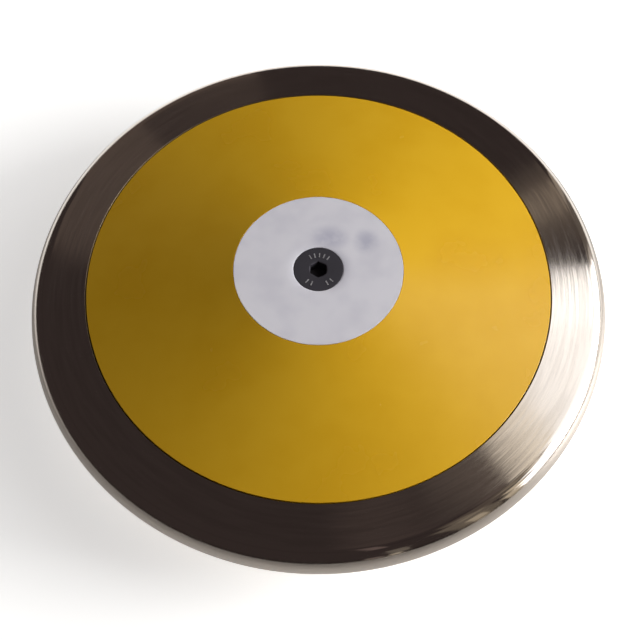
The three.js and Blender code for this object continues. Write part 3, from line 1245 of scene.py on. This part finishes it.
@dataclass(frozen=True)
class Softbox:
    """A soft rectangular lamp, given by the part of the sky that it fills as the discus sees it."""

    name: str
    azimuths: Pair
    elevations: Pair
    radiance: float
    colour: str = "#FFFFFF"
    distance: float = 2.0

    def build(self) -> None:
        """Builds the lamp."""
        left, right = (math.radians(angle) for angle in self.azimuths)
        foot, head = (math.radians(angle) for angle in self.elevations)
        azimuth, elevation = (left + right) / 2, (foot + head) / 2
        lamp = bpy.data.lights.new(self.name, "AREA")
        lamp.shape = "RECTANGLE"
        lamp.size = 2 * self.distance * math.tan((right - left) / 2) * math.cos(elevation)
        lamp.size_y = 2 * self.distance * math.tan((head - foot) / 2)
        lamp.color = linear(self.colour)[:3]
        lamp.energy = self.radiance * LAMP_SPREAD * lamp.size * lamp.size_y
        place = bpy.data.objects.new(self.name, lamp)
        towards = Vector((math.cos(azimuth), math.sin(azimuth), math.tan(elevation))).normalized()
        place.location = towards * self.distance
        place.rotation_euler = towards.to_track_quat("Z", "Y").to_euler()
        place.visible_camera = False
        bpy.context.scene.collection.objects.link(place)


@dataclass(frozen=True)
class Studio:
    """The pale floor, the soft light and the camera."""

    floor_size: float = 12.0
    floor_colour: str = "#F4F4F2"
    floor_far: str = "#E4E1DC"
    floor_fade: Pair = (165 * MM, 500 * MM)
    floor_glow: float = 0.58
    floor_gap: float = 0.05 * MM
    sky: str = "#393130"
    lens: float = 86.14
    camera_distance: float = 485.5 * MM
    camera_elevation: float = math.radians(61.43)
    aim: tuple[float, float, float] = (0.475 * MM, -7.648 * MM, 0.0)
    softboxes: tuple[Softbox, ...] = (
        Softbox("key_frame_low", (-27.5, 34.4), (3, 19), 1.9),
        Softbox("key_frame_high", (-26, 35.2), (19, 31), 1.9),
        Softbox("key_core", (-15, 21), (9, 27), 17.6, distance=1.9),
        Softbox("window_foot", (-20, 38.6), (31, 44), 1.6),
        Softbox("window_low", (-8, 44.5), (44, 49), 1.35),
        Softbox("window_middle", (-2, 44.3), (49, 54), 1.25),
        Softbox("window_high", (3, 43), (54, 59), 1.04),
        Softbox("window_top", (5, 41.5), (59, 63.5), 0.82, "#FFF6E6"),
        Softbox("window_head", (4, 40), (63.5, 67), 0.68, "#FFF6E6"),
        Softbox("window_right", (35, 43.4), (42, 52), 0.45),
        Softbox("window_left_low", (-14, -8), (44, 50), 0.65, "#FFF6E6"),
        Softbox("window_left_high", (-8, 3), (49, 60), 0.55, "#FFF6E6"),
        Softbox("window_left_fringe", (-21, -12), (44, 58), 0.12, "#FFF0D4"),
        Softbox("ceiling_glow", (-5, 25), (66, 77), 0.065, "#FFE9D8"),
        Softbox("ceiling_glow_near", (-60, -5), (75, 86), 0.02, "#FFE0D0"),
        Softbox("wall_glow_near", (-36, 4), (45, 66), 0.05, "#FFEBD2"),
        Softbox("reflector_right", (52, 57), (33, 43), 0.14, "#FFEBD2"),
        Softbox("wall_glow_right", (47, 60), (28, 46), 0.04, "#FFEBD2"),
        Softbox("reflector_low_right", (48.5, 53), (0, 30), 0.25, "#FFF0DC"),
        Softbox("key_fringe", (34, 37.4), (3, 31), 0.36, "#FFF6EC"),
        Softbox("window_foot_fringe", (38.5, 42), (29, 41), 0.12, "#FFF6EC"),
        Softbox("fringe_right", (37, 49), (0, 34), 0.08, "#FFF0DC"),
        Softbox("reflector_left", (112, 133), (29, 46), 0.045, "#FFE4D0"),
        Softbox("reflector_far", (98, 128), (0, 29), 0.05, "#FFE4D0"),
        Softbox("reflector_near", (-44.5, -39.5), (0, 33), 0.24, "#FFF0D4"),
        Softbox("reflector_near_glow", (-50, -34), (0, 50), 0.09, "#FFF0D4"),
        Softbox("reflector_near_head", (-43, -33), (44, 60), 0.08, "#FFF0D4"),
        Softbox("fringe_near_low", (-33, -26), (0, 28), 0.42, "#FFF0D4"),
        Softbox("fringe_near_high", (-28.5, -22), (28, 42), 0.48, "#FFF0D4"),
        Softbox("small_softbox_1", (-70, -66.5), (0, 15), 0.5, "#FFF4E0"),
        Softbox("small_softbox_1_glow", (-69.5, -63.5), (15, 36), 0.1, "#FFF4E0"),
        Softbox("small_softbox_2", (-77, -72), (0, 16), 0.17, "#FFECE0"),
        Softbox("small_softbox_3", (-82.5, -79.5), (0, 10), 0.13, "#FFECE0"),
        Softbox("small_softbox_4", (-72, -64), (56, 70), 0.09, "#FFE0D8"),
    )

    def _floor(self) -> None:
        """Lays the floor under the lower plate, seen from above only, pale in the picture and dimmer beyond it."""
        shape = bmesh.new()
        under = Matrix.Translation((0.0, 0.0, FRAME_BOX[0].z - self.floor_gap))
        bmesh.ops.create_grid(shape, x_segments=1, y_segments=1, size=self.floor_size / 2, matrix=under)
        floor = to_object("floor", shape)
        material = bpy.data.materials.new("pale floor")
        tree = empty_tree(material)
        path = add_node(tree, "LightPath").outputs
        seen = path["Is Camera Ray"]
        for kind in ("Is Glossy Ray", "Is Transmission Ray"):
            seen = math_node(tree, "MAXIMUM", seen, path[kind])
        # The glow and the colour fade with distance from the axis: a painted pool of light, bright round the discus
        # and dimmer beyond.
        beyond = spread(tree, axis_distance(tree), self.floor_fade)
        glow = spread(tree, beyond, (0.0, 1.0), (self.floor_glow, 0.0))
        colour = blended(tree, beyond, linear(self.floor_colour), linear(self.floor_far))
        paint = add_node(tree, "BsdfDiffuse", inputs={"Color": colour})
        light = add_node(tree, "Emission", inputs={"Strength": math_node(tree, "MULTIPLY", seen, glow)})
        lit = add_node(tree, "AddShader", inputs={0: paint.outputs[0], 1: light.outputs[0]})
        clear = add_node(tree, "BsdfTransparent")
        back = add_node(tree, "NewGeometry").outputs["Backfacing"]
        sides = add_node(tree, "MixShader", inputs={0: back, 1: lit.outputs[0], 2: clear.outputs[0]})
        add_node(tree, "OutputMaterial", inputs={"Surface": sides.outputs[0]})
        floor.data.materials.append(material)

    def _world(self) -> None:
        """Sets a plain dim sky."""
        world = bpy.data.worlds.new("studio")
        bpy.context.scene.world = world
        tree = empty_tree(world)
        light = add_node(tree, "Background", inputs={"Color": linear(self.sky)})
        add_node(tree, "OutputWorld", inputs={"Surface": light.outputs[0]})

    def _camera(self) -> None:
        """Sets the camera at the photograph's angle."""
        lens = bpy.data.cameras.new("camera")
        lens.lens = self.lens
        camera = bpy.data.objects.new("camera", lens)
        back = Vector((0.0, -math.cos(self.camera_elevation), math.sin(self.camera_elevation)))
        camera.location = back * self.camera_distance
        view = Vector(self.aim) - camera.location
        camera.rotation_euler = view.to_track_quat("-Z", "Y").to_euler()
        bpy.context.scene.collection.objects.link(camera)
        bpy.context.scene.camera = camera

    def build(self) -> None:
        """Builds the studio."""
        bpy.context.scene.view_settings.view_transform = "Standard"
        self._floor()
        self._world()
        self._camera()
        for softbox in self.softboxes:
            softbox.build()


def main() -> None:
    """Builds the discus piece by piece, and the studio round it."""
    logging.basicConfig(level=logging.INFO, format="%(message)s")
    Studio().build()
    Rim().build(TurnedSteel().build())
    plastic = MouldedPlastic().build()
    aluminium = BlastedAluminium().build()
    for side in Side:
        Cover(side).build(plastic)
        CentrePlate(side).build(aluminium)
    tube = PlainMetal("turned aluminium", "#C9CACC", 0.35).build()
    steel = PlainMetal("stamped steel", "#B0B0B2", 0.35).build()
    Hub().build(tube, {WasherKind.STEEL: steel, WasherKind.NYLON: StampedNylon().build()})
    Fasteners().build(BlackenedSteel().build())


if __name__ == "__main__":
    main()
